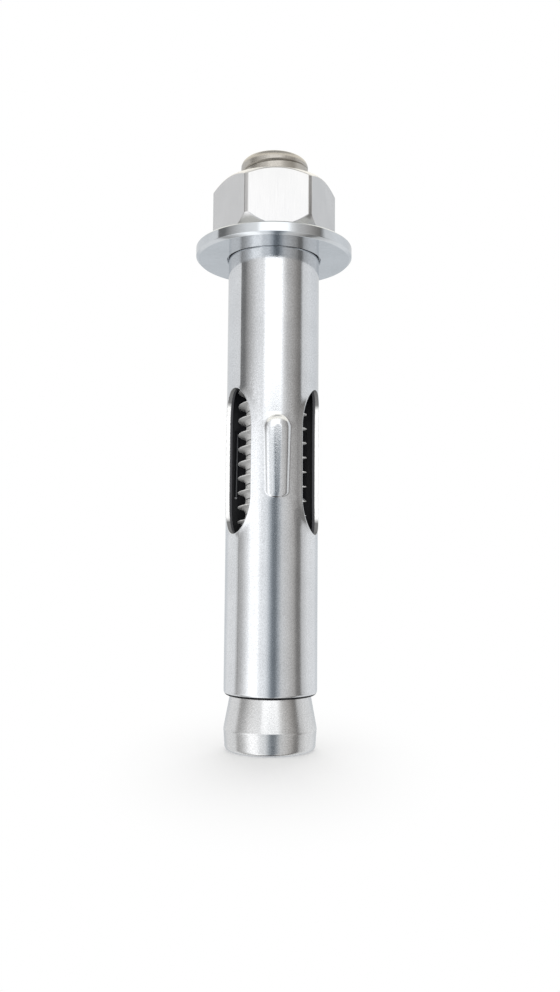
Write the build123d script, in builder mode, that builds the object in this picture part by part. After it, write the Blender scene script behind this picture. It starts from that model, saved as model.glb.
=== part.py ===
"""Expansion anchor of the sleeve type: a stud with an expander cone, a slotted sleeve, a washer and a hex nut.

Millimetres, +Z up along the stud. The origin is on the axis at the cone's flat end, on which the anchor stands,
and -Y is the side that shows the pressed rib between two windows. An azimuth is counted from -Y towards +X.
"""

import os
from math import cos, hypot, radians, sin, tan

from build123d import *

# Sleeve, rolled from sheet for a 16 mm drilled hole
sleeve_diameter = 15.8
sleeve_wall = 1.0
sleeve_length = 75.7
sleeve_bottom_fillet = 0.85
sleeve_end_chamfer = 0.15
seam_width = 0.15
seam_azimuth = -43.5

# Windows, slots with long elliptical ends and a raised lip
window_count = 3
window_width = 7.2
window_length = 24.6
window_end_length = 6.6
window_height = 39.2
lip_width = 0.45
lip_height = 0.2
lip_chamfer = 0.1

# Ribs, one pressed outward in each web between two windows
rib_azimuth = 6.3
rib_length = 13.6
rib_top_width = 4.1
rib_bottom_width = 3.7
rib_height = 0.4
rib_chamfer = 0.3
rib_lift = 0.4
rib_hollow_inset = 0.9
rib_hollow_depth = 0.35

# Stud, one turned piece with a cone, a plain shank and a thread
stud_protrusion = 4.8
shank_diameter = 10.4
thread_diameter = 11.8
thread_length = 70.2
tip_fillet = 0.8

# Expander cone
cone_diameter = 15.7
cone_half_angle = 10.5
cone_land = 3.6
cone_land_angle = 4.0
cone_foot_fillet = 0.8
cone_ridge_fillet = 1.5
cone_root_fillet = 4.0

# Washer, with a shallow recess for the sleeve's end
washer_diameter = 27.2
washer_thickness = 2.2
washer_top_chamfer = 0.2
washer_bottom_chamfer = 0.45
recess_depth = 0.8
recess_mouth_chamfer = 0.15

# Hex nut
nut_across_flats = 19.0
nut_height = 11.0
nut_corner_chamfer = 0.43
nut_top_chamfer_angle = 40.0
nut_top_inset = 0.3
nut_bottom_chamfer_angle = 45.0
nut_bottom_inset = 1.6
nut_bore_chamfer = 0.7
nut_azimuth = 4.2

# Clearances
sleeve_to_cone_gap = 0.06
sleeve_to_recess_gap = 0.2
stud_to_washer_gap = 0.3
thread_to_nut_gap = 0.05
seat_gap = 0.02

# Radii and levels that follow from the sizes above
sleeve_outer_r = sleeve_diameter / 2
sleeve_inner_r = sleeve_outer_r - sleeve_wall
thread_r = thread_diameter / 2
shank_r = shank_diameter / 2
cone_r = cone_diameter / 2
foot_r = cone_r - cone_land * tan(radians(cone_land_angle))
cone_slope = tan(radians(cone_half_angle))
shoulder_height = thread_r - shank_r
cone_top_z = cone_land + (cone_r - shank_r) / cone_slope
seat_r = sleeve_inner_r - sleeve_to_cone_gap
sleeve_bottom_z = cone_land + (cone_r - seat_r) / cone_slope
sleeve_top_z = sleeve_bottom_z + sleeve_length
washer_bottom_z = sleeve_top_z + seat_gap - recess_depth
washer_top_z = washer_bottom_z + washer_thickness
nut_bottom_z = washer_top_z + seat_gap
nut_top_z = nut_bottom_z + nut_height
stud_length = nut_top_z + stud_protrusion
thread_start_z = stud_length - thread_length
window_z = sleeve_bottom_z + window_height
rib_z = window_z + rib_lift
past_surface = 1.0


def radial_plane(azimuth, height):
    """A plane through the axis that looks outward at the azimuth, with its own Y along +Z."""
    outward = (sin(radians(azimuth)), -cos(radians(azimuth)), 0)
    sideways = (cos(radians(azimuth)), sin(radians(azimuth)), 0)
    return Plane(origin=(0, 0, height), x_dir=sideways, z_dir=outward)


def around(first_azimuth, height):
    """One radial plane for each web or window, evenly round the sleeve."""
    step = 360 / window_count
    return [radial_plane(first_azimuth + step * n, height) for n in range(window_count)]


def edges_at(part, radius):
    """The part's edges whose middle lies on a cylinder of this radius round the axis."""
    return part.edges().filter_by(
        lambda edge: abs(hypot((edge @ 0.5).X, (edge @ 0.5).Y) - radius) < 1e-3
    )


def window_outline(margin):
    """A window's slot, grown by a margin all round."""
    half_width = window_width / 2 + margin
    end_length = window_end_length + margin
    straight = window_length / 2 - window_end_length
    with BuildSketch() as slot:
        with BuildLine():
            upper = EllipticalCenterArc((0, straight), half_width, end_length, 0, arc_size=180)
            lower = EllipticalCenterArc((0, -straight), half_width, end_length, 180, arc_size=180)
            Line(upper @ 1, lower @ 0)
            Line(lower @ 1, upper @ 0)
        make_face()
    return slot.sketch


window_planes = around(rib_azimuth + 180 / window_count, window_z)
rib_planes = around(rib_azimuth, rib_z)

# Stud with its cone, shank and threaded end, the thread taken at its outer diameter
with BuildPart() as cone_stud:
    with BuildSketch(Plane.XZ) as stud_profile:
        with BuildLine():
            Polyline(
                (0, 0),
                (foot_r, 0),
                (cone_r, cone_land),
                (shank_r, cone_top_z),
                (shank_r, thread_start_z - shoulder_height),
                (thread_r, thread_start_z),
                (thread_r, stud_length),
                (0, stud_length),
                close=True,
            )
        make_face()
        outer_corners = stud_profile.vertices().filter_by(lambda v: v.X > 0).sort_by(Axis.Y)
        fillet(outer_corners[0], cone_foot_fillet)
        fillet(outer_corners[1], cone_ridge_fillet)
        fillet(outer_corners[2], cone_root_fillet)
        fillet(outer_corners[-1], tip_fillet)
    revolve(axis=Axis.Z)

# Lips round the windows, as pads that stand proud of the sleeve
with BuildPart() as window_lips:
    with BuildSketch(Plane.XY.offset(sleeve_bottom_z)):
        Circle(sleeve_outer_r + lip_height)
        Circle(sleeve_outer_r - sleeve_wall / 2, mode=Mode.SUBTRACT)
    extrude(amount=sleeve_length)
    with BuildSketch(*window_planes):
        add(window_outline(lip_width))
    extrude(amount=sleeve_outer_r + past_surface, mode=Mode.INTERSECT)
    chamfer(edges_at(window_lips, sleeve_outer_r + lip_height), lip_chamfer)

# Ribs, wider at the top, and the hollow behind each
with BuildPart() as ribs:
    with BuildSketch(Plane.XY.offset(sleeve_bottom_z)):
        Circle(sleeve_outer_r + rib_height)
        Circle(sleeve_outer_r - sleeve_wall / 2, mode=Mode.SUBTRACT)
    extrude(amount=sleeve_length)
    with BuildSketch(*rib_planes):
        with Locations((0, (rib_length - rib_top_width) / 2)):
            Circle(rib_top_width / 2)
        with Locations((0, -(rib_length - rib_bottom_width) / 2)):
            Circle(rib_bottom_width / 2)
        make_hull()
    extrude(amount=sleeve_outer_r + past_surface, mode=Mode.INTERSECT)
    chamfer(edges_at(ribs, sleeve_outer_r + rib_height), rib_chamfer)

with BuildPart() as rib_hollows:
    with BuildSketch(Plane.XY.offset(sleeve_bottom_z)):
        Circle(sleeve_inner_r + rib_hollow_depth)
        Circle(sleeve_inner_r - sleeve_wall, mode=Mode.SUBTRACT)
    extrude(amount=sleeve_length)
    with BuildSketch(*rib_planes):
        SlotOverall(rib_length - 2 * rib_hollow_inset, rib_bottom_width - 2 * rib_hollow_inset, rotation=90)
    extrude(amount=sleeve_outer_r, mode=Mode.INTERSECT)

# Sleeve, with its windows and its seam
with BuildPart() as sleeve:
    with BuildSketch(Plane.XZ) as wall_profile:
        with Locations((sleeve_outer_r - sleeve_wall / 2, sleeve_bottom_z + sleeve_length / 2)):
            Rectangle(sleeve_wall, sleeve_length)
        low_corners = wall_profile.vertices().sort_by(Axis.Y)[:2].sort_by(Axis.X)
        fillet(low_corners[-1], sleeve_bottom_fillet)
        chamfer(wall_profile.vertices().sort_by(Axis.Y)[-2:], sleeve_end_chamfer)
    revolve(axis=Axis.Z)
    add(window_lips.part)
    add(ribs.part)
    add(rib_hollows.part, mode=Mode.SUBTRACT)
    with BuildSketch(*window_planes):
        add(window_outline(0))
    extrude(amount=sleeve_outer_r + past_surface, mode=Mode.SUBTRACT)
    with BuildSketch(radial_plane(seam_azimuth, sleeve_bottom_z + sleeve_length / 2)):
        Rectangle(seam_width, sleeve_length + 2 * past_surface)
    extrude(amount=sleeve_outer_r + past_surface, mode=Mode.SUBTRACT)

# Washer, with the recess underneath
with BuildPart() as washer:
    with BuildSketch(Plane.XY.offset(washer_bottom_z)):
        Circle(washer_diameter / 2)
    extrude(amount=washer_thickness)
    chamfer(washer.edges().sort_by(Axis.Z)[-1], washer_top_chamfer)
    chamfer(washer.edges().sort_by(Axis.Z)[0], washer_bottom_chamfer)
    with BuildSketch(Plane.XY.offset(washer_bottom_z)):
        Circle(sleeve_outer_r + sleeve_to_recess_gap)
    extrude(amount=recess_depth, mode=Mode.SUBTRACT)
    recess_mouth = washer.edges().group_by(Axis.Z)[0].sort_by(SortBy.RADIUS)[0]
    chamfer(recess_mouth, recess_mouth_chamfer)
    with BuildSketch(Plane.XY.offset(washer_bottom_z)):
        Circle(thread_r + stud_to_washer_gap)
    extrude(amount=washer_thickness, mode=Mode.SUBTRACT)

# Hex nut, chamfered lightly on top and deeply below
nut_corner_r = nut_across_flats / 2 / cos(radians(30))
nut_top_r = nut_across_flats / 2 - nut_top_inset
nut_top_drop = (nut_corner_r - nut_top_r) * tan(radians(nut_top_chamfer_angle))
nut_bottom_r = nut_across_flats / 2 - nut_bottom_inset
nut_bottom_rise = (nut_corner_r - nut_bottom_r) * tan(radians(nut_bottom_chamfer_angle))
with BuildPart() as hex_nut:
    with BuildSketch(Plane.XY.offset(nut_bottom_z)) as hexagon:
        RegularPolygon(nut_across_flats / 2, 6, major_radius=False, rotation=nut_azimuth)
        chamfer(hexagon.vertices(), nut_corner_chamfer)
    extrude(amount=nut_height)
    with BuildSketch(Plane.XZ):
        with BuildLine():
            Polyline(
                (0, nut_bottom_z),
                (nut_bottom_r, nut_bottom_z),
                (nut_corner_r, nut_bottom_z + nut_bottom_rise),
                (nut_corner_r, nut_top_z - nut_top_drop),
                (nut_top_r, nut_top_z),
                (0, nut_top_z),
                close=True,
            )
        make_face()
    revolve(axis=Axis.Z, mode=Mode.INTERSECT)
    with BuildSketch(Plane.XY.offset(nut_bottom_z)):
        Circle(thread_r + thread_to_nut_gap)
    extrude(amount=nut_height, mode=Mode.SUBTRACT)
    chamfer(edges_at(hex_nut, thread_r + thread_to_nut_gap), nut_bore_chamfer)

os.makedirs("parts", exist_ok=True)
cone_stud.part.label = "cone_stud"
export_step(cone_stud.part, "parts/cone_stud.step")
sleeve.part.label = "sleeve"
export_step(sleeve.part, "parts/sleeve.step")
washer.part.label = "washer"
export_step(washer.part, "parts/washer.step")
hex_nut.part.label = "hex_nut"
export_step(hex_nut.part, "parts/hex_nut.step")
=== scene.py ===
"""Sleeve expansion anchor, dressed in Blender: threaded stud with its cone, rolled sleeve, washer and nut.

Metres, +Z up along the stud. An azimuth is counted from -Y towards +X, and -Y is the side of the front rib.
"""

from math import acos, asin, ceil, cos, floor, hypot, pi, radians, sin, tan

import bmesh
import bpy
from bpy.props import FloatProperty, FloatVectorProperty, PointerProperty
from bpy.types import Operator, Panel, PropertyGroup
from mathutils import Matrix, Vector
from mathutils.geometry import delaunay_2d_cdt


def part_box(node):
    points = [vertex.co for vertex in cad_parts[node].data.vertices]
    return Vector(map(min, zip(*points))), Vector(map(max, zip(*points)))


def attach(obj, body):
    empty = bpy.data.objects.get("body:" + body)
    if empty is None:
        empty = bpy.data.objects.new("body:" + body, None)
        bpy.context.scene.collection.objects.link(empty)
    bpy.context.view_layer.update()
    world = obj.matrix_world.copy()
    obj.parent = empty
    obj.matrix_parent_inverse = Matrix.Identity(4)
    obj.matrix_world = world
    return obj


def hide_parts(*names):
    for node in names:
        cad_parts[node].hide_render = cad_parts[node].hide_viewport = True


bl_info = {
    "name": "Sleeve Anchor",
    "version": (1, 0, 0),
    "blender": (4, 5, 0),
    "location": "3D View > Sidebar > Anchor",
    "description": "Builds the stud, sleeve, washer and nut of a sleeve expansion anchor",
    "category": "Add Mesh",
}

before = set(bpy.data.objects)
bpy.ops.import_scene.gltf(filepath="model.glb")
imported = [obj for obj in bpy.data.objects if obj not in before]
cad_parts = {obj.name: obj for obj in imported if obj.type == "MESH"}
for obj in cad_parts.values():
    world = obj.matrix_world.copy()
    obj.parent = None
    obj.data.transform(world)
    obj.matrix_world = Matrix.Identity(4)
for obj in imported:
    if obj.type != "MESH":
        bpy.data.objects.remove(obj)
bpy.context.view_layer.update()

MM = 0.001
TURN = 2 * pi


def number(name, description, default, **kind):
    """A number with a unit, a subtype or limits of its own."""
    return FloatProperty(name=name, description=description, default=default, **kind)


def length(name, description, default):
    """A size in metres, given here in millimetres."""
    return number(name, description, default * MM, unit="LENGTH", precision=5)


def angle(name, description, default):
    """An angle in radians, given here in degrees."""
    return number(name, description, radians(default), unit="ROTATION")


def share(name, description, default):
    """A number from 0 to 1."""
    return number(name, description, default, min=0, max=1, subtype="FACTOR")


def colour(name, description, default):
    """A linear colour."""
    return FloatVectorProperty(
        name=name, description=description, default=default, min=0, max=4, subtype="COLOR"
    )


class StudSizes(PropertyGroup):
    """Sizes and finish of the turned stud."""

    thread_r: length("Thread radius", "Radius of the thread's crests", 5.9)
    shank_r: length("Shank radius", "Radius of the plain shank over the cone", 5.2)
    thread_z: length("Thread start", "Level at which the thread begins", 31.789)
    pitch: length("Pitch", "Distance between two crests of the thread", 2.5)
    depth: length("Thread depth", "Depth of the thread from crest to root", 1.35)
    crest: length("Crest width", "Width of the thread's crests", 0.14)
    crest_r: length("Crest rounding", "Radius of the crests' edges", 0.08)
    root_r: length("Root rounding", "Radius between the flanks and the root", 0.8)
    flank: angle("Flank angle", "Half angle of the thread in section", 11)
    crest_z: length("Crest level", "Level of a crest on the front side", 48.71)
    tip_r: length("Tip rounding", "Radius of the rounded edge of the stud's end", 1.25)
    runout: length("Run-out", "Length over which the thread fades", 1.5)
    fade_z: length("Fade level", "Level at which the thread has faded to a shallow groove", 98.4)
    groove: length("Groove depth", "Depth of the shallow groove that is left by the stud's end", 0.28)
    groove_half: length("Groove half width", "Half the width of that groove", 0.16)
    foot_r: length("Foot radius", "Radius of the cone's flat end", 7.598)
    cone_r: length("Cone radius", "Radius of the cone at its widest", 7.85)
    cone_land: length("Cone land", "Height of the steep band at the cone's foot", 3.6)
    cone_top_z: length("Cone top", "Level at which the cone meets the shank", 17.898)
    foot_rounding: length("Foot rounding", "Radius at the cone's flat end", 0.8)
    ridge_rounding: length("Ridge rounding", "Radius at the cone's widest ring", 1.5)
    root_rounding: length("Root rounding", "Radius between cone and shank", 4.0)
    steel: colour("Steel", "Colour of the turned steel", (0.63, 0.635, 0.64))
    dull: colour("End", "Colour of the duller upper end", (0.44, 0.42, 0.39))
    matte: colour("Thread", "Colour of the matte thread", (0.52, 0.52, 0.515))
    # painted shade: the dark line along the thread's root stands in for the shade in that crease
    dark: colour("Thread root", "Colour of the line at the thread's root", (0.06, 0.06, 0.065))
    roughness: share("Roughness", "Roughness of the turned steel", 0.17)
    dull_roughness: share("End roughness", "Roughness of the duller upper end", 0.27)
    thread_roughness: share("Thread roughness", "Roughness of the matte thread", 0.5)
    thread_metal: share("Thread metal", "How metallic the matte thread looks", 0.25)


class SleeveSizes(PropertyGroup):
    """Sizes and finish of the rolled sleeve."""

    outer_r: length("Outer radius", "Radius of the sleeve outside", 7.9)
    wall: length("Wall", "Thickness of the sheet", 1.0)
    bottom_rounding: length("Bottom rounding", "Radius at the lower outer edge", 0.85)
    end_edge: length("End edge", "Size of the small edges at the ends", 0.15)
    seam: length("Seam", "Width of the gap where the sheet meets", 0.05)
    seam_azimuth: angle("Seam azimuth", "Where the seam is", -43.5)
    rib_azimuth: angle("Rib azimuth", "Where the first rib is", 6.3)
    window_width: length("Window width", "Width of a window", 7.2)
    window_length: length("Window length", "Length of a window", 24.6)
    window_end: length("Window end", "Length of a window's elliptical end", 6.6)
    window_height: length("Window height", "From the sleeve's lower end to a window's middle", 39.2)
    lip_width: length("Lip width", "Width of the raised lip round a window", 1.0)
    lip_height: length("Lip height", "Height of the raised lip", 0.1)
    rib_length: length("Rib length", "Length of a rib", 13.6)
    rib_top: length("Rib top width", "Width of a rib at its upper end", 4.1)
    rib_bottom: length("Rib bottom width", "Width of a rib at its lower end", 3.6)
    rib_squash: share("Rib end", "Length of a rib's lower end as a share of a half circle", 0.52)
    rib_height: length("Rib height", "How far a rib is pressed out", 0.44)
    rib_lift: length("Rib lift", "How far a rib's middle is over the windows' middle", 0.4)
    hollow_inset: length("Hollow inset", "From a rib's outline to the hollow behind it", 0.9)
    hollow_depth: length("Hollow depth", "Depth of the hollow behind a rib", 0.35)
    zinc: colour("Zinc", "Colour of the bright plating", (0.655, 0.67, 0.69))
    # painted shade: the near-black inside stands in for the shade within the sleeve
    bore: colour("Bore", "Colour of the shade-painted inside", (0.005, 0.005, 0.006))
    cut: colour("Cut", "Colour of the sheared walls of the windows", (0.64, 0.64, 0.635))
    # painted shade: the windows' walls are painted darker towards the windows' ends
    shaded_ends: colour("Cut ends", "Colour of the walls at the windows' ends", (0.14, 0.14, 0.14))
    # painted shade: the inner part of the windows' walls, next to the inside, is painted dark
    shaded: colour("Torn", "Colour of the torn inner part of those walls", (0.04, 0.04, 0.043))
    shaded_depth: length("Torn depth", "How far the torn part reaches out from the inside", 0.42)
    # painted shade: the dark lower edge stands in for the shade in the gap between sleeve and cone
    under: length("Dark edge", "Height of the dark lower edge of the sleeve", 0.38)
    roughness: share("Roughness", "Roughness of the plating", 0.11)
    cut_roughness: share("Cut roughness", "Roughness of the sheared walls", 0.45)
    cut_metal: share("Cut metal", "How metallic the sheared walls look", 0.05)


class WasherSizes(PropertyGroup):
    """Sizes and finish of the washer."""

    outer_r: length("Radius", "Radius of the washer", 13.6)
    top_edge: length("Upper edge", "Size of the upper edge", 0.2)
    bottom_edge: length("Lower edge", "Size of the lower edge", 0.45)
    recess_r: length("Recess radius", "Radius of the recess for the sleeve", 8.1)
    recess_depth: length("Recess depth", "Depth of the recess for the sleeve", 0.8)
    recess_edge: length("Recess edge", "Size of the edge at the recess's mouth", 0.15)
    bore_r: length("Bore radius", "Radius of the hole for the stud", 6.2)
    zinc: colour("Zinc", "Colour of the polished plating", (0.60, 0.625, 0.65))
    roughness: share("Roughness", "Roughness of the polished plating", 0.1)


class NutSizes(PropertyGroup):
    """Sizes and finish of the hex nut."""

    across_flats: length("Across flats", "Distance between two opposite flats", 19.0)
    corner_cut: length("Corner cut", "How much of each flat the flattened corner takes", 0.43)
    top_inset: length("Upper inset", "From a flat to the ring of the upper face", 0.3)
    top_chamfer: angle("Upper chamfer", "Slope of the chamfer on the upper face", 40)
    bottom_inset: length("Lower inset", "From a flat to the ring of the lower face", 0.6)
    bottom_chamfer: angle("Lower chamfer", "Slope of the chamfer on the lower face", 57)
    bore_edge: length("Bore edge", "Size of the edge at the bore's mouth", 0.7)
    bore_r: length("Bore radius", "Radius of the bore at the thread's roots", 5.95)
    azimuth: angle("Azimuth", "Where the front flat is", 4.2)
    edge: length("Edge rounding", "Width of the rounding on the nut's edges", 0.13)
    zinc: colour("Zinc", "Colour of the plating", (0.60, 0.60, 0.605))
    roughness: share("Roughness", "Roughness of the brushed flats", 0.2)


class StageSizes(PropertyGroup):
    """Floor, light and camera."""

    floor_r: length("Floor radius", "Radius of the round floor", 420)
    floor: colour("Floor", "Colour of the floor", (0.93, 0.93, 0.93))
    lens: number("Lens", "Focal length of the camera", 33.507, subtype="DISTANCE_CAMERA")
    distance: length("Camera distance", "From the axis to the camera", 158.22)
    height: length("Camera height", "Height of the camera over the floor", 29.48)
    tilt: angle("Camera tilt", "How far the camera looks up", 4.78)
    yaw: angle("Camera yaw", "How far the camera turns to the right", 0.501)
    roll: angle("Camera roll", "How far the camera rolls", 0.435)
    low_until: angle("Low bands", "How far up the low bands of light reach", 8.6)
    high_from: angle("High bands", "Where the high bands of light begin", 9.6)
    upper: colour("Upper light", "Colour of the light high up round the object", (1.3, 1.26, 1.16))
    ceiling: colour("Ceiling", "Colour of the light straight over the object", (0.55, 0.55, 0.54))
    depths: colour("Depths", "Colour that the metal mirrors from straight below", (0.06, 0.05, 0.048))
    even_light: number("Even light", "Light on matte surfaces from all round", 0.8, min=0)
    lamp: number("Soft lamp", "Power of the soft lamp", 0.5, min=0, unit="POWER")
    fill: number("Window lamp", "Power of the lamp before the windows", 2.0, min=0, unit="POWER")
    shadow_near: length("Shadow near", "How far out the floor keeps its shadow", 10)
    shadow_far: length("Shadow far", "How far out the floor is plain white", 62)
    shadow_lift: share("Shadow lift", "How much white is mixed into the shadow", 0.3)
    ring_r: length("Open middle", "Radius of the middle of the floor that the metal doesn't mirror", 24)


class Shell:
    """Points and faces of one piece, before they become a mesh."""

    def __init__(self):
        self.points = []
        self.faces = []

    def row(self, points):
        first = len(self.points)
        self.points.extend(points)
        return list(range(first, len(self.points)))

    def circle(self, radius, z, count):
        return self.row(polar(radius, TURN * n / count, z) for n in range(count))

    def strips(self, rows, closed=True, gaps=()):
        """Faces between rows of as many points, with no face after the points named in gaps."""
        for low, high in zip(rows, rows[1:]):
            count = len(low)
            for n in range(count if closed else count - 1):
                if n not in gaps:
                    after = (n + 1) % count
                    self.faces.append((low[n], low[after], high[after], high[n]))


def polar(radius, azimuth, z):
    """The point at a radius, an azimuth from -Y towards +X, and a level."""
    return (radius * sin(azimuth), -radius * cos(azimuth), z)


def rounded(corners, step=radians(9)):
    """The points of an outline of (x, y, rounding) corners, with an arc at each rounded corner."""
    points = []
    for n, (x, y, rounding) in enumerate(corners):
        here = Vector((x, y))
        if not rounding:
            points.append((x, y))
            continue
        before = (Vector(corners[n - 1][:2]) - here).normalized()
        after = (Vector(corners[(n + 1) % len(corners)][:2]) - here).normalized()
        half = before.angle(after) / 2
        centre = here + (before + after).normalized() * rounding / sin(half)
        first = here + before * rounding / tan(half) - centre
        last = here + after * rounding / tan(half) - centre
        sweep = (pi - 2 * half) * (1 if first.cross(last) > 0 else -1)
        count = max(2, ceil(abs(sweep) / step))
        for k in range(count + 1):
            points.append(tuple(centre + Matrix.Rotation(sweep * k / count, 2) @ first))
    return points


def smooth(share_of_way):
    """An even start and stop between 0 and 1."""
    t = min(1, max(0, share_of_way))
    return t * t * (3 - 2 * t)


def finish_piece(name, shell, body, node, material, sharp=radians(38), bevel=0):
    """Turns a shell into a closed mesh object that rides on its body and stands for its node."""
    mesh = bpy.data.meshes.new(name)
    mesh.from_pydata(shell.points, [], shell.faces)
    bm = bmesh.new()
    bm.from_mesh(mesh)
    border = [edge for edge in bm.edges if edge.is_boundary]
    if border:
        bmesh.ops.holes_fill(bm, edges=border, sides=0)
    bmesh.ops.recalc_face_normals(bm, faces=bm.faces)
    if any(not edge.is_manifold for edge in bm.edges):
        raise RuntimeError(f"{name} isn't a closed mesh")
    if bm.calc_volume(signed=True) < 0:
        bmesh.ops.reverse_faces(bm, faces=bm.faces)
    for face in bm.faces:
        face.smooth = True
    for edge in bm.edges:
        edge.smooth = edge.calc_face_angle() < sharp
    bm.to_mesh(mesh)
    bm.free()
    piece = bpy.data.objects.new(name, mesh)
    bpy.context.scene.collection.objects.link(piece)
    mesh.materials.append(material)
    if bevel:
        edges = piece.modifiers.new("Edge rounding", "BEVEL")
        edges.width = bevel
        edges.segments = 3
        edges.limit_method = "ANGLE"
        edges.angle_limit = sharp
    even = piece.modifiers.new("Even shading", "WEIGHTED_NORMAL")
    even.keep_sharp = not bevel
    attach(piece, body)
    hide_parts(node)
    return piece


def thread_section(s):
    """(rise over the crest, drop below it) over one pitch: narrow crest, straight flanks, wide round root."""
    half, foot = s.pitch / 2, s.crest / 2 + s.depth * tan(s.flank)
    corners = [(0, 0, 0), (s.crest / 2, 0, s.crest_r), (foot, s.depth, s.root_r), (half, s.depth, 0)]
    rising = rounded(corners, step=radians(16))
    rising[-1:] = [(half - s.groove_half * k / 2, s.depth) for k in (1, 0)]
    return rising + [(s.pitch - rise, drop) for rise, drop in reversed(rising[1:-1])]


def thread_band(shell, low_row, high_row, low_z, high_z, crest_z, pitch, section, radius):
    """A thread between two plain circles, its points on the helix.

    radius(rise, drop, z) says how far out a point lies.
    """
    count = len(low_row)
    clear = 0.03 * MM  # the least height between a plain circle and a point of the thread
    start = crest_z - pitch * (floor((crest_z - low_z) / pitch) + 2)
    columns = []
    for n in range(count):
        azimuth = TURN * n / count
        column = {}
        index = 0
        while True:
            rise, drop = section[index % len(section)]
            z = start + pitch * (index // len(section) + n / count) + rise
            if z > high_z - clear:
                break
            if z > low_z + clear:
                column[index] = shell.row([polar(radius(rise, drop, z), azimuth, z)])[0]
            index += 1
        columns.append(column)
    for n, column in enumerate(columns):
        beside = (n + 1) % count
        shift = len(section) if beside == 0 else 0
        after = {index - shift: point for index, point in columns[beside].items()}
        low, high = max(min(column), min(after)), min(max(column), max(after))
        for index in range(low, high):
            shell.faces.append((column[index], after[index], after[index + 1], column[index + 1]))
        below = [after[i] for i in range(min(after), low + 1)]
        below += [column[i] for i in range(low, min(column) - 1, -1)]
        above = [after[i] for i in range(max(after), high - 1, -1)]
        above += [column[i] for i in range(high, max(column) + 1)]
        shell.faces.append((low_row[n], low_row[beside], *below))
        shell.faces.append((high_row[n], high_row[beside], *above))


class AnchorStud(Operator):
    """Builds the turned stud: cone, shank, thread and rounded end"""

    bl_idname = "anchor.stud"
    bl_label = "Stud"

    def execute(self, context):
        s = context.scene.anchor_stud
        top_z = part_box("cone_stud")[1].z
        low_z = s.thread_z - (s.thread_r - s.shank_r)
        high_z = top_z - s.tip_r
        start_fade, groove_fade = 1.5 * MM, 0.4 * MM  # over which the thread starts and its groove ends
        count = 120
        shell = Shell()
        foot = rounded(
            [
                (0, 0, 0),
                (s.foot_r, 0, s.foot_rounding),
                (s.cone_r, s.cone_land, s.ridge_rounding),
                (s.shank_r, s.cone_top_z, s.root_rounding),
                (s.shank_r, low_z, 0),
            ],
            step=radians(6),
        )[1:]
        tip = rounded([(s.thread_r, high_z, 0), (s.thread_r, top_z, s.tip_r), (0, top_z, 0)])[1:-1]
        lower = [shell.circle(r, z, count) for r, z in foot]
        upper = [shell.circle(r, z, count) for r, z in tip]
        shell.strips(lower)
        shell.strips(upper)
        shell.faces += [tuple(lower[0]), tuple(upper[-1])]

        def radius(rise, drop, z):
            from_root = abs(rise - s.pitch / 2) / s.groove_half
            groove = s.groove * max(0, 1 - from_root) * smooth((high_z - z) / groove_fade)
            r = s.thread_r - max(drop * smooth((s.fade_z - z) / s.runout), groove)
            return s.shank_r + (r - s.shank_r) * smooth((z - low_z) / start_fade)

        section = thread_section(s)
        thread_band(shell, lower[-1], upper[0], low_z, high_z, s.crest_z, s.pitch, section, radius)
        finish_piece("turned_stud", shell, "stud_body", "cone_stud", stud_material(s))
        return {"FINISHED"}


def window_loop(s, offset, seam_x):
    """(sideways, level) round a window's slot, offset outside its edge, and where the seam passes it."""
    a = s.window_width / 2 + offset
    b = s.window_length / 2 - s.window_end
    end = s.window_end + offset
    right, left = acos((seam_x + s.seam / 2) / a), acos((seam_x - s.seam / 2) / a)
    side_steps, short_steps, long_steps = 4, 10, 17

    def arc(start, stop, steps, z):
        turns = (start + (stop - start) * n / steps for n in range(steps + 1))
        return [(a * cos(t), z + end * sin(t)) for t in turns]

    side = [(a, b * k / side_steps) for k in range(1 - side_steps, side_steps)]
    loop = side + arc(0, right, short_steps, b)
    gap_above = len(loop) - 1
    loop += arc(left, pi, long_steps, b) + [(-x, -z) for x, z in side]
    loop += arc(pi, TURN - left, long_steps, -b)
    gap_below = len(loop) - 1
    loop += arc(TURN - right, TURN, short_steps, -b)
    return loop, (gap_above, gap_below)


def rib_loop(s, inset):
    """(sideways, level) round a rib, inset inside its outline: round at the top and flatter at the bottom."""
    top_r, bottom_r = s.rib_top / 2 - inset, s.rib_bottom / 2 - inset
    top_z = (s.rib_length - s.rib_top) / 2
    bottom_z = (s.rib_squash * s.rib_bottom - s.rib_length) / 2
    steps, side_parts = 20, 8
    loop = [(top_r * cos(t), top_z + top_r * sin(t)) for t in (pi * n / steps for n in range(steps + 1))]
    loop += [
        (bottom_r * cos(t), bottom_z + s.rib_squash * bottom_r * sin(t))
        for t in (pi + pi * n / steps for n in range(steps + 1))
    ]
    even = []
    for n, (x, z) in enumerate(loop):
        after = loop[(n + 1) % len(loop)]
        parts = side_parts if n in (steps, 2 * steps + 1) else 1
        even += [(x + (after[0] - x) * k / parts, z + (after[1] - z) * k / parts) for k in range(parts)]
    return even


def inside(x, z, loop):
    """Whether a point lies inside a closed outline."""
    found = False
    for n, (x1, z1) in enumerate(loop):
        x0, z0 = loop[n - 1]
        if (z0 > z) != (z1 > z) and x < x0 + (x1 - x0) * (z - z0) / (z1 - z0):
            found = not found
    return found


class Opening:
    """A window, rib or hollow of the sheet: the rows of points that lead into it, and its outlines."""

    def __init__(self, shell, s, azimuth, z, loops, radii, margin_loop, gaps=()):
        self.azimuth, self.z, self.gaps = azimuth, z, gaps
        self.loops, self.outline, self.margin = loops, loops[0], margin_loop
        self.rows = []
        for loop, radius in zip(loops, radii):
            places = [(azimuth + asin(x / s.outer_r), z + up) for x, up in loop]
            self.rows.append(shell.row(polar(radius, *place) for place in places))
        shell.strips(self.rows, gaps=gaps)

    def covers(self, s, azimuth, z, loop):
        """Whether a place on the sheet lies inside this loop of the opening."""
        around = azimuth - self.azimuth
        return cos(around) > 0 and inside(s.outer_r * sin(around), z - self.z, loop)


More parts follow.
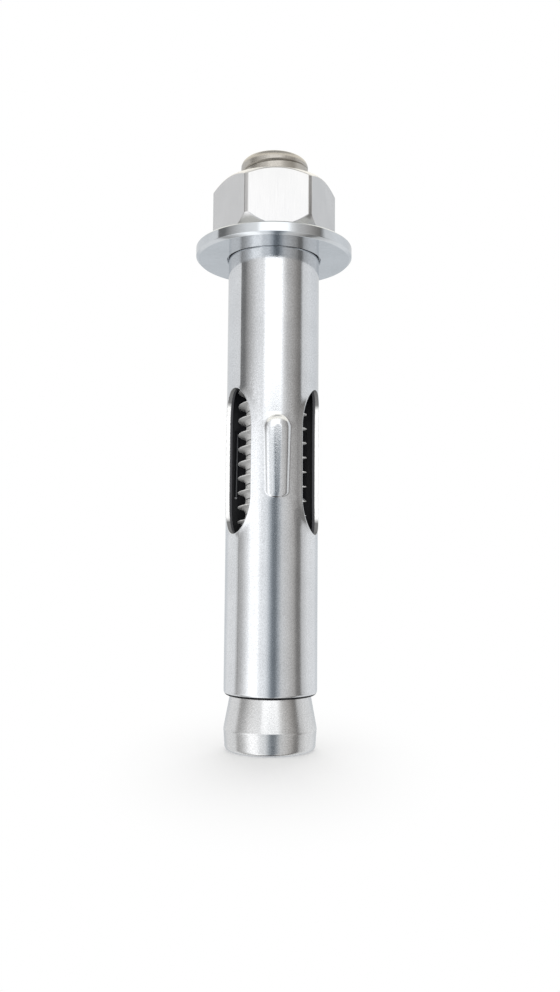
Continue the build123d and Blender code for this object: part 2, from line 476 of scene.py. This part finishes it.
def skin(shell, s, radius, columns, low_row, high_row, levels, openings):
    """One side of the sheet between its two end rows, cut out round the openings.

    Each opening comes with the number of its row that lies on this side.
    """
    whole, least = 0, 1e-6  # triangles over the whole sheet, and the distance under which points would merge
    flat, ids, edges = [], [], []

    def put(azimuth, z, point):
        flat.append(Vector(((azimuth - s.seam_azimuth) % TURN * s.outer_r, z)) / MM)
        ids.append(point)

    for n, azimuth in enumerate(columns):
        put(azimuth, levels[0], low_row[n])
        put(azimuth, levels[-1], high_row[n])
    for opening, side in openings:
        first = len(flat)
        count = len(opening.rows[side])
        for (x, up), point in zip(opening.loops[side], opening.rows[side]):
            put(opening.azimuth + asin(x / s.outer_r), opening.z + up, point)
        edges += [(first + n, first + (n + 1) % count) for n in range(count) if n not in opening.gaps]
    for n, azimuth in enumerate(columns):
        at_seam = n in (0, len(columns) - 1)
        for z in levels[1:-1]:
            if not any(o.covers(s, azimuth, z, o.outline if at_seam else o.margin) for o, side in openings):
                put(azimuth, z, shell.row([polar(radius, azimuth, z)])[0])
    points, _, triangles, origins, _, _ = delaunay_2d_cdt(flat, edges, [], whole, least)
    if any(len(origin) != 1 for origin in origins):
        raise RuntimeError("the sleeve's outlines run into each other")
    for triangle in triangles:
        middle = sum((points[n] for n in triangle), Vector((0, 0))) / 3 * MM
        azimuth = middle.x / s.outer_r + s.seam_azimuth
        if not any(o.covers(s, azimuth, middle.y, o.loops[side]) for o, side in openings):
            shell.faces.append(tuple(ids[origins[n][0]] for n in triangle))


class AnchorSleeve(Operator):
    """Builds the rolled sleeve: seam, three windows with raised lips, and three pressed ribs"""

    bl_idname = "anchor.sleeve"
    bl_label = "Sleeve"

    def execute(self, context):
        s = context.scene.anchor_sleeve
        low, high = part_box("sleeve")
        bottom_z, top_z = low.z, high.z
        inner_r = s.outer_r - s.wall
        half_seam = s.seam / 2 / s.outer_r
        window_z = bottom_z + s.window_height
        rib_z = window_z + s.rib_lift
        shell = Shell()

        # Rows round a window: (outside its edge in lip widths, height in lip heights), its edge and its wall
        lip = [(1, 0), (0.86, 0.04), (0.7, 0.14), (0.54, 0.3), (0.38, 0.52), (0.24, 0.76), (0.12, 1)]
        lip_rows = [(w * s.lip_width, s.outer_r + h * s.lip_height) for w, h in lip]
        edge_r, edge_steps, inner_edge = 0.07 * MM, 4, 0.1 * MM
        crest_r = s.outer_r + s.lip_height
        for n in range(edge_steps + 1):
            t = pi / 2 * n / edge_steps
            lip_rows.append((edge_r * (1 - sin(t)), crest_r - edge_r * (1 - cos(t))))
        lip_rows += [(w * inner_edge, inner_r + h * inner_edge) for w, h in ((0, 1), (0.3, 0.3), (1, 0))]

        margin, inner_margin = 0.2 * MM, 0.3 * MM  # kept free of the sheet's grid, outside and inside
        windows = []
        for n in range(3):
            azimuth = s.rib_azimuth + radians(60 + 120 * n)
            turned = (s.seam_azimuth - azimuth + pi) % TURN - pi
            at_seam = abs(turned) < asin(s.window_width / 2 / s.outer_r)
            seam_x = s.outer_r * sin(turned) if at_seam else 0
            loops = [window_loop(s, offset, seam_x) for offset, _ in lip_rows]
            gaps = loops[0][1] if at_seam else ()
            wide = window_loop(s, lip_rows[0][0] + margin, seam_x)[0]
            outlines, radii = [loop for loop, _ in loops], [r for _, r in lip_rows]
            windows.append(Opening(shell, s, azimuth, window_z, outlines, radii, wide, gaps))

        # Rows of a rib and of the hollow behind it: (inside the outline in mm, share of the height)
        rib = [(-0.28, 0), (-0.17, 0.03), (-0.06, 0.11), (0.05, 0.24), (0.15, 0.37), (0.25, 0.48)]
        rib += [(0.35, 0.57), (0.47, 0.65), (0.65, 0.73), (0.85, 0.81), (1.1, 0.89), (1.35, 0.96), (1.6, 1)]
        rib_rows = [(inset * MM, s.outer_r + h * s.rib_height) for inset, h in rib]
        hollow = [(0, 0), (0.15, 0.25), (0.3, 0.7), (0.45, 1), (0.6, 1)]
        hollow_rows = [(s.hollow_inset + inset * MM, inner_r + h * s.hollow_depth) for inset, h in hollow]
        ribs, hollows = [], []
        for n in range(3):
            azimuth = s.rib_azimuth + radians(120 * n)
            for rows, kept in ((rib_rows, ribs), (hollow_rows, hollows)):
                loops = [rib_loop(s, inset) for inset, _ in rows]
                wide = rib_loop(s, rows[0][0] - margin)
                kept.append(Opening(shell, s, azimuth, rib_z, loops, [r for _, r in rows], wide))
                shell.faces.append(tuple(kept[-1].rows[-1]))

        count = 180
        columns = [s.seam_azimuth + half_seam + (TURN - 2 * half_seam) * n / count for n in range(count + 1)]

        def end_rows(outline):
            return [shell.row(polar(r, azimuth, z) for azimuth in columns) for r, z in outline]

        e = s.end_edge
        plain_low, plain_high = bottom_z + 1.02 * s.bottom_rounding, top_z - 1.5 * e
        lower = [
            (s.outer_r, plain_low, 0),
            (s.outer_r, bottom_z, s.bottom_rounding),
            (inner_r, bottom_z, e / 2),
            (inner_r, bottom_z + e, 0),
        ]
        upper = [
            (s.outer_r, plain_high, 0),
            (s.outer_r, top_z, e),
            (inner_r, top_z, e),
            (inner_r, plain_high, 0),
        ]
        bottom, top = end_rows(rounded(lower)), end_rows(rounded(upper))
        shell.strips(bottom, closed=False)
        shell.strips(top, closed=False)

        def levels(low_z, high_z, steps):
            return [low_z + (high_z - low_z) * n / steps for n in range(steps + 1)]

        outside = levels(plain_low, plain_high, steps=50)
        within = levels(bottom_z + e, plain_high, steps=36)
        skin(shell, s, s.outer_r, columns, bottom[0], top[0], outside, [(w, 0) for w in windows + ribs])
        openings = [(w, len(lip_rows) - 1) for w in windows] + [(h, 0) for h in hollows]
        for opening in windows:
            opening.outline, opening.margin = opening.loops[-1], window_loop(s, inner_margin, 0)[0]
        skin(shell, s, inner_r, columns, bottom[-1], top[-1], within, openings)
        steel = sleeve_material(s, bottom_z)
        finish_piece("rolled_sleeve", shell, "sleeve_body", "sleeve", steel)
        return {"FINISHED"}


class AnchorWasher(Operator):
    """Builds the washer with the recess for the sleeve's end"""

    bl_idname = "anchor.washer"
    bl_label = "Washer"

    def execute(self, context):
        s = context.scene.anchor_washer
        low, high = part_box("washer")
        bottom_z, top_z = low.z, high.z
        count = 192
        fine = 0.06 * MM  # the least rounding of an edge
        outline = rounded(
            [
                (s.outer_r - s.bottom_edge, bottom_z, 2.5 * fine),
                (s.outer_r, bottom_z + s.bottom_edge, 2 * fine),
                (s.outer_r, top_z - s.top_edge, 2 * fine),
                (s.outer_r - s.top_edge, top_z, 2 * fine),
                (s.bore_r, top_z, fine),
                (s.bore_r, bottom_z + s.recess_depth, fine),
                (s.recess_r, bottom_z + s.recess_depth, fine),
                (s.recess_r, bottom_z + s.recess_edge, fine),
                (s.recess_r + s.recess_edge, bottom_z, fine),
            ],
            step=radians(15),
        )
        shell = Shell()
        rows = [shell.circle(r, z, count) for r, z in outline]
        shell.strips(rows + rows[:1])
        grain = {"grain": 0.8, "streaks": (1500, 1500, 9000), "speckle": 0.03, "relief": 2.5e-6}
        steel = plating("Polished plating", s, **grain)
        finish_piece("flat_washer", shell, "washer_body", "washer", steel)
        return {"FINISHED"}


class AnchorNut(Operator):
    """Builds the hex nut with its chamfers and flattened corners"""

    bl_idname = "anchor.nut"
    bl_label = "Nut"

    def execute(self, context):
        s = context.scene.anchor_nut
        low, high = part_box("hex_nut")
        bottom_z, top_z = low.z, high.z
        apothem = s.across_flats / 2
        corner_r = apothem / cos(radians(30))
        top_r, bottom_r = apothem - s.top_inset, apothem - s.bottom_inset
        corners = [Vector(polar(corner_r, s.azimuth + radians(30 + 60 * n), 0)[:2]) for n in range(6)]
        share_cut = s.corner_cut / corner_r
        corner_steps, flat_steps = 3, 16
        outline = []
        for n, here in enumerate(corners):
            after, before = corners[(n + 1) % 6], corners[n - 1]
            arriving, leaving = here.lerp(before, share_cut), here.lerp(after, share_cut)
            outline += [arriving.lerp(leaving, k / corner_steps) for k in range(corner_steps)]
            outline += [leaving.lerp(after.lerp(here, share_cut), k / flat_steps) for k in range(flat_steps)]
        shell = Shell()

        def circle(radius, z):
            return shell.row((x * radius / hypot(x, y), y * radius / hypot(x, y), z) for x, y in outline)

        deep, light = tan(s.bottom_chamfer), tan(s.top_chamfer)
        rows = [
            circle(bottom_r, bottom_z),
            shell.row((x, y, bottom_z + (hypot(x, y) - bottom_r) * deep) for x, y in outline),
            shell.row((x, y, top_z - (hypot(x, y) - top_r) * light) for x, y in outline),
            circle(top_r, top_z),
            circle(s.bore_r + s.bore_edge, top_z),
            circle(s.bore_r, top_z - s.bore_edge),
            circle(s.bore_r, bottom_z + s.bore_edge),
            circle(s.bore_r + s.bore_edge, bottom_z),
        ]
        shell.strips(rows + rows[:1])
        grain = {"grain": 0.6, "streaks": (9000, 9000, 300), "speckle": 0.035, "relief": 4e-6}
        steel = plating("Brushed plating", s, **grain)
        finish_piece("brushed_nut", shell, "nut_body", "hex_nut", steel, radians(18), s.edge)
        return {"FINISHED"}


def empty_tree(owner):
    """The cleared node tree of a material or world."""
    owner.use_nodes = True
    owner.node_tree.nodes.clear()
    return owner.node_tree


def add_node(tree, kind, inputs=None, **settings):
    """A shader node of a kind; inputs are values or the sockets that feed it."""
    made = tree.nodes.new("ShaderNode" + kind)
    for key, value in settings.items():
        setattr(made, key, value)
    for key, value in (inputs or {}).items():
        if isinstance(value, bpy.types.NodeSocket):
            tree.links.new(value, made.inputs[key])
        else:
            made.inputs[key].default_value = value
    return made


def calculate(tree, operation, *values):
    """The result of a Math node."""
    return add_node(tree, "Math", dict(enumerate(values)), operation=operation).outputs[0]


def on_vectors(tree, operation, *vectors, output="Vector"):
    """The result of a Vector Math node."""
    made = add_node(tree, "VectorMath", dict(enumerate(vectors)), operation=operation)
    return made.outputs[output]


def fit(tree, value, low, high, to_low, to_high, kind="LINEAR"):
    """A value brought from one range to another and kept inside it."""
    inputs = {"Value": value, "From Min": low, "From Max": high, "To Min": to_low, "To Max": to_high}
    return add_node(tree, "MapRange", inputs, interpolation_type=kind).outputs["Result"]


def paint(tree, base, *coats):
    """A colour under coats of others, each of them (mask, colour)."""
    below, above, result = 6, 7, 2  # a Mix node's sockets for colours
    for mask, coat in coats:
        inputs = {"Factor": mask}
        for socket, value in ((below, base), (above, coat)):
            inputs[socket] = value if isinstance(value, bpy.types.NodeSocket) else (*value, 1)
        base = add_node(tree, "Mix", inputs, data_type="RGBA").outputs[result]
    return base


def blend_shaders(tree, factor, first, second):
    """Two shader nodes blended by a factor."""
    return add_node(tree, "MixShader", {0: factor, 1: first.outputs[0], 2: second.outputs[0]})


def start_group(name, inputs, outputs):
    """An empty node group with sockets given as name: kind."""
    group = bpy.data.node_groups.new(name, "ShaderNodeTree")
    for sockets, side in ((inputs, "INPUT"), (outputs, "OUTPUT")):
        for label, kind in sockets.items():
            group.interface.new_socket(label, in_out=side, socket_type="NodeSocket" + kind)
    return group, group.nodes.new("NodeGroupInput").outputs, group.nodes.new("NodeGroupOutput").inputs


# Most values of a noise texture lie between these
NOISE_SPAN = (0.3, 0.7)


def plating_group():
    """Bright plating: fine grain, faint clouds in the tint and the roughness, and the height of the grain."""
    name = "Zinc plating"
    if name in bpy.data.node_groups:
        return bpy.data.node_groups[name]
    inputs = {
        "Vector": "Vector",
        "Color": "Color",
        "Roughness": "Float",
        "Grain": "Float",
        "Streaks": "Vector",
        "Speckle": "Float",
    }
    outputs = {"Color": "Color", "Roughness": "Float", "Height": "Float"}
    group, given, out = start_group(name, inputs, outputs)
    point = given["Vector"]
    fine = {"Vector": point, "Scale": 5200, "Detail": 1.5, "Roughness": 0.6}
    grain = add_node(group, "TexNoise", fine)
    cloud = add_node(group, "TexNoise", {"Vector": point, "Scale": 170, "Detail": 3})
    pulled = on_vectors(group, "MULTIPLY", point, given["Streaks"])
    streak = add_node(group, "TexNoise", {"Vector": pulled, "Scale": 1, "Detail": 2})
    shade = fit(group, cloud.outputs["Fac"], *NOISE_SPAN, 0.95, 1.03)
    speck = fit(group, streak.outputs["Fac"], *NOISE_SPAN, -1, 1)
    speck = calculate(group, "MULTIPLY", speck, given["Speckle"])
    shade = calculate(group, "MULTIPLY", shade, calculate(group, "ADD", speck, 1))
    tinted = add_node(group, "VectorMath", {0: given["Color"], "Scale": shade}, operation="SCALE")
    group.links.new(tinted.outputs[0], out["Color"])
    rough = given["Roughness"]
    for noise, less, more in ((cloud, -0.02, 0.03), (streak, -0.015, 0.025)):
        change = fit(group, noise.outputs["Fac"], *NOISE_SPAN, less, more)
        rough = calculate(group, "ADD", rough, change)
    group.links.new(rough, out["Roughness"])
    relief = calculate(group, "MULTIPLY", grain.outputs["Fac"], given["Grain"])
    relief = calculate(group, "ADD", relief, calculate(group, "MULTIPLY", streak.outputs["Fac"], 0.35))
    group.links.new(relief, out["Height"])
    return group


def metal(name, looks, grain, streaks, speckle, relief):
    """A metal material on the plating group, with a grain that is relief metres high.

    looks(tree, place) gives the colour, the roughness and how metallic it is.
    """
    material = bpy.data.materials.new(name)
    tree = empty_tree(material)
    place = add_node(tree, "TexCoord").outputs
    base, roughness, metallic = looks(tree, place)
    inputs = {
        "Vector": place["Object"],
        "Color": base,
        "Roughness": roughness,
        "Grain": grain,
        "Streaks": streaks,
        "Speckle": speckle,
    }
    surface = add_node(tree, "Group", inputs, node_tree=plating_group()).outputs
    bump = add_node(tree, "Bump", {"Height": surface["Height"], "Strength": 1.0, "Distance": relief})
    shader = add_node(
        tree,
        "BsdfPrincipled",
        {
            "Base Color": surface["Color"],
            "Metallic": metallic,
            "Roughness": surface["Roughness"],
            "Specular IOR Level": 0.05,
            "Normal": bump.outputs["Normal"],
        },
    )
    add_node(tree, "OutputMaterial", {"Surface": shader.outputs["BSDF"]})
    return material


def flat_part(tree, place):
    """The part of the position square to the stud's axis."""
    return on_vectors(tree, "MULTIPLY", place["Object"], (1, 1, 0))


def from_axis(tree, place):
    """Distance from the stud's axis."""
    return on_vectors(tree, "LENGTH", flat_part(tree, place), output="Value")


def level_of(tree, place):
    """Height over the floor."""
    return add_node(tree, "SeparateXYZ", {0: place["Object"]}).outputs["Z"]


def azimuth_of(tree, vector):
    """The azimuth of a place or a direction, from -Y towards +X."""
    x, y, _ = add_node(tree, "SeparateXYZ", {0: vector}).outputs
    return calculate(tree, "ARCTAN2", x, calculate(tree, "MULTIPLY", y, -1))


def stud_material(s):
    """Turned steel, matte on the thread, with painted shade along the thread's root."""
    matte_until, dull_from = (86 * MM, 90 * MM), (97 * MM, 98 * MM)  # levels over which they fade
    root_shade_line = (0.02, 0.045)  # half the width of the dark line at the root, as shares of the pitch
    root_r = (s.thread_r - s.depth, s.thread_r - 0.7 * s.depth)

    def looks(tree, place):
        radius, up = from_axis(tree, place), level_of(tree, place)
        threaded = fit(tree, up, s.thread_z, s.thread_z + s.pitch, 0, 1)
        threaded = calculate(tree, "MULTIPLY", threaded, fit(tree, up, *matte_until, 1, 0))
        around = calculate(tree, "DIVIDE", azimuth_of(tree, place["Object"]), TURN)
        along = calculate(tree, "DIVIDE", calculate(tree, "SUBTRACT", up, s.crest_z), s.pitch)
        turn = calculate(tree, "FRACT", calculate(tree, "SUBTRACT", along, around))
        from_root = calculate(tree, "ABSOLUTE", calculate(tree, "SUBTRACT", turn, 0.5))
        # painted shade along the thread's root, where the crease would be in shade
        root = fit(tree, from_root, *root_shade_line, 1, 0)
        deep = fit(tree, radius, *root_r, 1, 0)
        root = calculate(tree, "MULTIPLY", root, calculate(tree, "MULTIPLY", deep, threaded))
        end = fit(tree, up, *dull_from, 0, 1)
        base = paint(tree, s.steel, (end, s.dull), (threaded, s.matte), (root, s.dark))
        roughness = fit(tree, end, 0, 1, s.roughness, s.dull_roughness)
        roughness = fit(tree, threaded, 0, 1, roughness, s.thread_roughness)
        return base, roughness, fit(tree, threaded, 0, 1, 1, s.thread_metal)

    return metal("Turned steel", looks, grain=0.6, streaks=(4200, 4200, 5200), speckle=0.11, relief=6e-6)


def sleeve_material(s, bottom_z):
    """Bright plated sheet, matte on the sheared walls of the windows, with painted shade inside, on the inner
    part and the ends of those walls, and along the lower edge.
    """
    sideways, inward = (0.4, 0.6), (-0.75, -0.45)  # how far a face looks outward, from 1 to -1
    shaded_r, shade_edge_z = s.outer_r - s.wall + s.shaded_depth, bottom_z + s.under
    shaded_fade, shade_edge_fade = 0.08 * MM, 0.1 * MM
    ends_from, ends_to = s.window_length / 2 - 2.9 * MM, s.window_length / 2 - 2.1 * MM

    def looks(tree, place):
        radius, up = from_axis(tree, place), level_of(tree, place)
        outward = on_vectors(tree, "NORMALIZE", flat_part(tree, place))
        facing = on_vectors(tree, "DOT_PRODUCT", place["Normal"], outward, output="Value")
        cut = fit(tree, calculate(tree, "ABSOLUTE", facing), *sideways, 1, 0)
        # painted shade on the walls' inner part, next to the dark inside
        shaded = fit(tree, radius, shaded_r, shaded_r + shaded_fade, 1, 0)
        # faces that look inward get the painted shade of the inside
        bore = fit(tree, facing, *inward, 1, 0)
        # painted shade along the lower edge, for the gap between sleeve and cone
        under = fit(tree, up, shade_edge_z, shade_edge_z + shade_edge_fade, 1, 0)
        # painted shade: darker walls towards the windows' ends
        middle = calculate(tree, "SUBTRACT", up, bottom_z + s.window_height)
        ends = fit(tree, calculate(tree, "ABSOLUTE", middle), ends_from, ends_to, 0, 1)
        wall = paint(tree, s.cut, (ends, s.shaded_ends), (shaded, s.shaded))
        base = paint(tree, s.zinc, (cut, wall), (bore, s.bore), (under, s.bore))
        dark = calculate(tree, "MAXIMUM", bore, under)
        matte = calculate(tree, "MAXIMUM", cut, dark)
        roughness = fit(tree, matte, 0, 1, s.roughness, s.cut_roughness)
        metallic = fit(tree, cut, 0, 1, 1, s.cut_metal)
        return base, roughness, calculate(tree, "MULTIPLY", metallic, fit(tree, dark, 0, 1, 1, 0))

    return metal("Plated sheet", looks, grain=0.6, streaks=(5200, 5200, 4200), speckle=0.11, relief=6e-6)


def plating(name, s, **surface):
    """Plating of one colour and one roughness, with a grain of its own."""
    return metal(name, lambda tree, place: ((*s.zinc, 1), s.roughness, 1.0), **surface)


# What the metal sees round it: (degrees from the camera's side towards +X, brightness, warmth)
STUDIO_HIGH = [
    (-180, 0.62, 0), (-160, 0.8, -0.01), (-130, 0.9, -0.01), (-90, 0.96, 0), (-88, 0.22, 0.01),
    (-76, 0.22, 0.01), (-67, 0.44, 0.02), (-52, 0.76, 0.01), (-40, 1.0, 0), (-24, 1.12, 0), (-20, 1.7, 0),
    (20, 1.7, 0), (26, 1.05, 0.01), (35, 0.68, 0.02), (50, 0.49, 0.04), (61, 0.33, 0.05), (72, 0.22, 0.05),
    (75, 0.5, 0), (79, 0.88, 0), (100, 0.96, -0.01), (130, 0.86, -0.02), (158, 0.78, -0.01), (180, 0.62, 0),
]
STUDIO_LOW = [
    (-180, 0.74, -0.03), (-150, 0.76, -0.03), (-130, 1.0, 0), (-97, 1.0, 0), (-88, 0.5, 0.02),
    (-76, 0.66, 0.01), (-62, 1.1, 0), (-52, 1.6, 0), (-33, 1.6, 0), (-27, 1.2, -0.01), (-12, 1.05, -0.02),
    (-4, 0.62, -0.06), (2, 0.28, -0.1), (10, 0.22, -0.1), (17, 0.5, -0.06), (26, 0.82, 0), (40, 0.75, 0.02),
    (56, 0.52, 0.04), (65, 0.25, 0.04), (74, 0.25, 0.04), (80, 0.7, 0.01), (100, 1.0, 0), (130, 1.0, -0.01),
    (150, 0.76, -0.03), (180, 0.74, -0.03),
]


def band_ramp(tree, position, stops):
    """Vertical bands of light round the object."""
    ramp = add_node(tree, "ValToRGB", {"Fac": position})
    elements = ramp.color_ramp.elements
    for n, (at, brightness, warmth) in enumerate(stops):
        place = 0.5 + at / 360
        element = elements[n] if n < 2 else elements.new(place)
        element.position = place
        element.color = (brightness * (1 + warmth), brightness, brightness * (1 - warmth), 1)
    return ramp.outputs["Color"]


def studio_group():
    """The studio's bands of light, high and low, and a mask of its front, from a direction or a place."""
    front = (radians(64), radians(86))  # how far round the front reaches, full and at all
    outputs = {"High": "Color", "Low": "Color", "Front": "Float"}
    group, given, out = start_group("Studio bands", {"Vector": "Vector"}, outputs)
    around = azimuth_of(group, given["Vector"])
    position = calculate(group, "ADD", calculate(group, "DIVIDE", around, TURN), 0.5)
    group.links.new(band_ramp(group, position, STUDIO_HIGH), out["High"])
    group.links.new(band_ramp(group, position, STUDIO_LOW), out["Low"])
    aside = calculate(group, "ABSOLUTE", around)
    group.links.new(fit(group, aside, *front, 1, 0, "SMOOTHSTEP"), out["Front"])
    return group


def build_world(s, studio):
    """A studio of soft light bands for the metal, an even light for the floor, and white for the camera."""
    upper, ceiling, depths = (0.45, 0.55), (0.8, 0.92), (-0.96, -0.88)  # sines of the elevation
    world = bpy.data.worlds.new("Studio")
    bpy.context.scene.world = world
    tree = empty_tree(world)
    out = add_node(tree, "OutputWorld")
    way = add_node(tree, "TexCoord").outputs["Generated"]
    rise = add_node(tree, "SeparateXYZ", {0: way}).outputs["Z"]
    bands = add_node(tree, "Group", {"Vector": way}, node_tree=studio).outputs
    height = fit(tree, rise, sin(s.low_until), sin(s.high_from), 0, 1, "SMOOTHSTEP")
    upper, ceiling = fit(tree, rise, *upper, 0, 1), fit(tree, rise, *ceiling, 0, 1)
    depths = calculate(tree, "MULTIPLY", fit(tree, rise, *depths, 1, 0), bands["Front"])
    coats = (height, bands["High"]), (upper, s.upper), (ceiling, s.ceiling), (depths, s.depths)
    around = paint(tree, bands["Low"], *coats)
    seen = add_node(tree, "Background", {"Color": around, "Strength": 1.0})
    even = add_node(tree, "Background", {"Color": (1, 1, 1, 1), "Strength": s.even_light})
    white = add_node(tree, "Background", {"Color": (1, 1, 1, 1), "Strength": 1.0})
    path = add_node(tree, "LightPath").outputs
    mixed = blend_shaders(tree, path["Is Diffuse Ray"], seen, even)
    mixed = blend_shaders(tree, path["Is Camera Ray"], mixed, white)
    tree.links.new(mixed.outputs[0], out.inputs["Surface"])


def floor_material(s, studio):
    """A pale floor that keeps its shadow near the object, white further out, in bands for the metal."""
    narrow = (2.1, 1, 0)  # the shadow is kept in an ellipse that is so much narrower along X
    ring_fade = 2 * MM
    material = bpy.data.materials.new("Pale floor")
    tree = empty_tree(material)
    out = add_node(tree, "OutputMaterial")
    place = add_node(tree, "TexCoord").outputs
    radius = from_axis(tree, place)
    wide = on_vectors(tree, "MULTIPLY", place["Object"], narrow)
    wide = on_vectors(tree, "LENGTH", wide, output="Value")
    away = fit(tree, wide, s.shadow_near, s.shadow_far, s.shadow_lift, 1, "SMOOTHSTEP")
    paper = add_node(tree, "BsdfDiffuse", {"Color": (*s.floor, 1)})
    white = add_node(tree, "Emission", {"Color": (1, 1, 1, 1), "Strength": 1.0})
    bands = add_node(tree, "Group", {"Vector": place["Object"]}, node_tree=studio).outputs["Low"]
    lit = add_node(tree, "Emission", {"Color": bands, "Strength": 1.0})
    clear_middle = add_node(tree, "BsdfTransparent")
    open_middle = fit(tree, radius, s.ring_r, s.ring_r + ring_fade, 0, 1)
    lit = blend_shaders(tree, open_middle, clear_middle, lit)
    path = add_node(tree, "LightPath").outputs
    clear = calculate(tree, "MAXIMUM", path["Is Camera Ray"], path["Is Transmission Ray"])
    mixed = blend_shaders(tree, calculate(tree, "MULTIPLY", away, clear), paper, white)
    mixed = blend_shaders(tree, path["Is Glossy Ray"], mixed, lit)
    tree.links.new(mixed.outputs[0], out.inputs["Surface"])
    return material


def soft_light(name, place, target, size, energy):
    """A round soft lamp that no metal mirrors."""
    data = bpy.data.lights.new(name, "AREA")
    data.shape = "DISK"
    data.size = size
    data.energy = energy
    lamp = bpy.data.objects.new(name, data)
    lamp.location = place
    lamp.rotation_euler = (Vector(target) - lamp.location).to_track_quat("-Z", "Y").to_euler()
    lamp.visible_glossy = False
    lamp.visible_camera = False
    bpy.context.scene.collection.objects.link(lamp)
    return lamp


class AnchorStage(Operator):
    """Sets the pale floor, the studio light and the camera"""

    bl_idname = "anchor.stage"
    bl_label = "Stage"

    def execute(self, context):
        s = context.scene.anchor_stage
        studio = studio_group()
        shell = Shell()
        floor_z = -0.02 * MM  # just clear of the cone's flat end
        shell.faces.append(tuple(shell.circle(s.floor_r, floor_z, count=96)))
        mesh = bpy.data.meshes.new("floor")
        mesh.from_pydata(shell.points, [], shell.faces)
        mesh.materials.append(floor_material(s, studio))
        floor = bpy.data.objects.new("floor", mesh)
        context.scene.collection.objects.link(floor)
        build_world(s, studio)

        lamp_size = 0.3
        soft_light("soft_lamp", (0.02, 0.26, 0.32), (0, 0, 0.02), lamp_size, s.lamp)

        # A lamp for the thread behind the windows and for the windows' own walls
        fill = soft_light("window_lamp", (0, -0.4, 0.05), (0, 0, 0.05), lamp_size, s.fill)
        fill.data.use_shadow = False
        lit = bpy.data.collections.new("Lit through the windows")
        for name in ("turned_stud", "rolled_sleeve"):
            lit.objects.link(bpy.data.objects[name])
        fill.light_linking.receiver_collection = lit

        camera_data = bpy.data.cameras.new("camera")
        camera_data.sensor_width = 36
        camera_data.lens = s.lens
        camera_data.clip_start = 0.001
        camera_data.clip_end = 10
        camera = bpy.data.objects.new("camera", camera_data)
        context.scene.collection.objects.link(camera)
        look = Vector((sin(s.yaw) * cos(s.tilt), cos(s.yaw) * cos(s.tilt), sin(s.tilt)))
        level = Vector((cos(s.yaw), -sin(s.yaw), 0))
        upright = level.cross(look)
        right = cos(s.roll) * level + sin(s.roll) * upright
        up = cos(s.roll) * upright - sin(s.roll) * level
        turned = Matrix((right, up, -look)).transposed().to_4x4()
        camera.matrix_world = Matrix.Translation((0, -s.distance, s.height)) @ turned
        context.scene.camera = camera
        context.scene.view_settings.view_transform = "Standard"
        return {"FINISHED"}


class AnchorPanel(Panel):
    """Lists what builds the anchor."""

    bl_idname = "VIEW3D_PT_anchor"
    bl_label = "Sleeve Anchor"
    bl_space_type = "VIEW_3D"
    bl_region_type = "UI"
    bl_category = "Anchor"

    def draw(self, context):
        for operator in OPERATORS:
            self.layout.operator(operator.bl_idname)
        for name in GROUPS:
            box = self.layout.box()
            sizes = getattr(context.scene, name)
            for key in sizes.__annotations__:
                box.prop(sizes, key)


OPERATORS = (AnchorStud, AnchorSleeve, AnchorWasher, AnchorNut, AnchorStage)
GROUPS = {
    "anchor_stud": StudSizes,
    "anchor_sleeve": SleeveSizes,
    "anchor_washer": WasherSizes,
    "anchor_nut": NutSizes,
    "anchor_stage": StageSizes,
}


def register():
    for group in (*GROUPS.values(), *OPERATORS, AnchorPanel):
        bpy.utils.register_class(group)
    for name, group in GROUPS.items():
        setattr(bpy.types.Scene, name, PointerProperty(type=group))


def unregister():
    for name in GROUPS:
        delattr(bpy.types.Scene, name)
    for group in (AnchorPanel, *reversed(OPERATORS), *reversed(GROUPS.values())):
        bpy.utils.unregister_class(group)


def main():
    register()
    bpy.ops.anchor.stud()
    bpy.ops.anchor.sleeve()
    bpy.ops.anchor.washer()
    bpy.ops.anchor.nut()
    bpy.ops.anchor.stage()
    bpy.context.view_layer.update()


if __name__ == "__main__":
    main()
